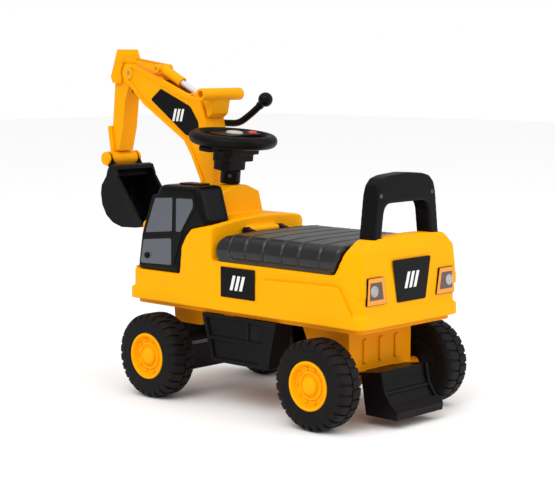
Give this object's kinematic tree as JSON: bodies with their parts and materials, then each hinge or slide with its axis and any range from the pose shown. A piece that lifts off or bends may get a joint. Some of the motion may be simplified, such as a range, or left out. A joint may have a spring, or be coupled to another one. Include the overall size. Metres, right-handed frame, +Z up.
{
  "type": "ride-on toy digger",
  "caption": "Foot-to-floor ride-on toy digger with storage seat, cab, steered front wheels, push handle and a lever-worked digging arm with bucket.",
  "frame": {"origin": "on the floor, under the middle of the whole toy's box", "axes": "+Z up, -Y forward towards the bucket, +X to the vehicle's left"},
  "size_m": [0.2792, 0.664, 0.5086],
  "materials": {
    "yellow_shell": "satin blow-moulded polyethylene",
    "yellow_frame": "satin moulded polypropylene",
    "yellow_arm": "satin moulded polypropylene",
    "yellow_rim": "satin moulded polypropylene",
    "tyre_black": "matt hard plastic tread",
    "black_shell": "satin black plastic with a fine grain",
    "black_working": "satin black plastic",
    "black_steering": "satin black plastic",
    "black_label": "smooth printed film",
    "cab_glazing": "smooth grey printed panes",
    "lamp_orange": "glossy orange lamp",
    "button_pale": "glossy pale button",
    "button_red": "glossy red button",
    "rod_pale": "satin pale grey plastic",
    "steel": "zinc-plated steel"
  },
  "bodies": {
    "chassis": {"body_shell": "yellow_shell", "storage_tub": "black_shell", "chassis_frame": "yellow_frame", "cab_shell": "black_shell", "cab_side_window": "cab_glazing", "cab_roof_vent": "black_shell", "push_handle": "black_shell", "handle_screw_left": "steel", "handle_screw_right": "steel", "left_side_box": "black_shell", "right_side_box": "black_shell", "rear_blade": "black_shell", "front_axle_beam": "black_working", "rear_axle": "steel", "kingpin_left": "steel", "kingpin_right": "steel", "side_badge_left": "black_label", "side_badge_right": "black_label", "rear_badge": "black_label", "rear_lamp_left": "lamp_orange", "rear_lamp_right": "lamp_orange", "seat_hinge_pin": "steel"},
    "seat": {"seat_lid": "black_shell"},
    "steering": {"steering_wheel": "black_steering", "horn_panel": "black_steering", "music_box": "black_steering", "column_sleeve": "black_steering", "column_screw": "steel", "steering_shaft": "steel"},
    "horn": {"horn_button": "button_pale"},
    "sound": {"red_button": "button_red"},
    "left_knuckle": {"knuckle_left": "black_working"},
    "right_knuckle": {"knuckle_right": "black_working"},
    "tie_rod": {"tie_rod": "steel"},
    "front_left_wheel": {"tyre_front_left": "tyre_black", "rim_front_left": "yellow_rim"},
    "front_right_wheel": {"tyre_front_right": "tyre_black", "rim_front_right": "yellow_rim"},
    "rear_left_wheel": {"tyre_rear_left": "tyre_black", "rim_rear_left": "yellow_rim"},
    "rear_right_wheel": {"tyre_rear_right": "tyre_black", "rim_rear_right": "yellow_rim"},
    "turntable": {"turntable": "black_working", "boom_foot_pin": "steel"},
    "boom": {"boom_left_half": "yellow_arm", "boom_right_half": "yellow_arm", "boom_grip": "yellow_arm", "boom_decal_left": "black_label", "boom_decal_right": "black_label", "boom_tip_pin": "steel", "ram_foot_pin": "steel"},
    "lever": {"lever": "black_working", "lever_knob": "black_working"},
    "push_link": {"push_link": "steel"},
    "stick": {"stick": "yellow_arm", "ram_pin": "steel", "bucket_pin": "yellow_arm"},
    "ram_barrel": {"ram_barrel": "yellow_arm"},
    "ram_rod": {"ram_rod": "rod_pale"},
    "bucket": {"bucket": "black_working"}
  },
  "joints": [
    {"name": "seat_lid_hinge", "type": "hinge", "parent": "chassis", "child": "seat", "pos_m": [0, 0.03805, 0.246], "axis": [1, 0, 0], "range_deg": [0, 75]},
    {"name": "steering_turn", "type": "hinge", "parent": "chassis", "child": "steering", "pos_m": [0, -0.02395, 0.376], "axis": [0, 0.1045, 0.9945], "range_deg": [-35, 35]},
    {"name": "horn_press", "type": "slide", "parent": "steering", "child": "horn", "axis": [0, -0.1045, -0.9945], "range_m": [0, 0.002], "stiffness_N_per_m": 300, "springref_m": -0.001},
    {"name": "sound_press", "type": "slide", "parent": "steering", "child": "sound", "axis": [0, -0.1045, -0.9945], "range_m": [0, 0.002], "stiffness_N_per_m": 300, "springref_m": -0.001},
    {"name": "left_knuckle_turn", "type": "hinge", "parent": "chassis", "child": "left_knuckle", "pos_m": [0.08, -0.06735, 0.062], "axis": [0, 0, 1], "range_deg": [-19, 19]},
    {"name": "right_knuckle_turn", "type": "hinge", "parent": "chassis", "child": "right_knuckle", "pos_m": [-0.08, -0.06735, 0.062], "axis": [0, 0, 1], "range_deg": [-19, 19]},
    {"name": "tie_rod_swing", "type": "hinge", "parent": "left_knuckle", "child": "tie_rod", "pos_m": [0.08, -0.03735, 0.0725], "axis": [0, 0, 1], "range_deg": [-19, 19]},
    {"name": "front_left_wheel_spin", "type": "hinge", "parent": "left_knuckle", "child": "front_left_wheel", "pos_m": [0.1166, -0.06735, 0.062], "axis": [1, 0, 0], "continuous": true},
    {"name": "front_right_wheel_spin", "type": "hinge", "parent": "right_knuckle", "child": "front_right_wheel", "pos_m": [-0.1166, -0.06735, 0.062], "axis": [1, 0, 0], "continuous": true},
    {"name": "rear_left_wheel_spin", "type": "hinge", "parent": "chassis", "child": "rear_left_wheel", "pos_m": [0.1166, 0.24955, 0.062], "axis": [1, 0, 0], "continuous": true},
    {"name": "rear_right_wheel_spin", "type": "hinge", "parent": "chassis", "child": "rear_right_wheel", "pos_m": [-0.1166, 0.24955, 0.062], "axis": [1, 0, 0], "continuous": true},
    {"name": "arm_swing", "type": "hinge", "parent": "chassis", "child": "turntable", "pos_m": [-0.04, -0.10095, 0.2696], "axis": [0, 0, 1], "range_deg": [-25, 30]},
    {"name": "boom_lift", "type": "hinge", "parent": "turntable", "child": "boom", "pos_m": [-0.04, -0.10095, 0.288], "axis": [1, 0, 0], "range_deg": [0, 25]},
    {"name": "lever_turn", "type": "hinge", "parent": "boom", "child": "lever", "pos_m": [-0.04, -0.12595, 0.396], "axis": [1, 0, 0], "range_deg": [0, 10]},
    {"name": "push_link_swing", "type": "hinge", "parent": "lever", "child": "push_link", "pos_m": [-0.0376, -0.13095, 0.383], "axis": [1, 0, 0], "range_deg": [-11, 1]},
    {"name": "stick_turn", "type": "hinge", "parent": "boom", "child": "stick", "pos_m": [-0.04, -0.27895, 0.471], "axis": [1, 0, 0], "range_deg": [-1, 11]},
    {"name": "ram_barrel_swing", "type": "hinge", "parent": "stick", "child": "ram_barrel", "pos_m": [-0.04, -0.21865, 0.4785], "axis": [1, 0, 0], "range_deg": [-15, 1]},
    {"name": "ram_rod_swing", "type": "hinge", "parent": "boom", "child": "ram_rod", "pos_m": [-0.04, -0.13395, 0.437], "axis": [1, 0, 0], "range_deg": [-5, 1]},
    {"name": "bucket_turn", "type": "hinge", "parent": "stick", "child": "bucket", "pos_m": [-0.04, -0.32045, 0.3333], "axis": [1, 0, 0], "range_deg": [-40, 0]}
  ],
  "couplings": [
    {"joint": "left_knuckle_turn", "follows": "steering_turn", "ratio": 0.5333},
    {"joint": "right_knuckle_turn", "follows": "steering_turn", "ratio": 0.5333},
    {"joint": "tie_rod_swing", "follows": "steering_turn", "ratio": -0.5333},
    {"joint": "stick_turn", "follows": "lever_turn", "ratio": 1},
    {"joint": "push_link_swing", "follows": "lever_turn", "ratio": -1},
    {"joint": "ram_barrel_swing", "follows": "lever_turn", "ratio": -1.417},
    {"joint": "ram_rod_swing", "follows": "lever_turn", "ratio": -0.417}
  ]
}
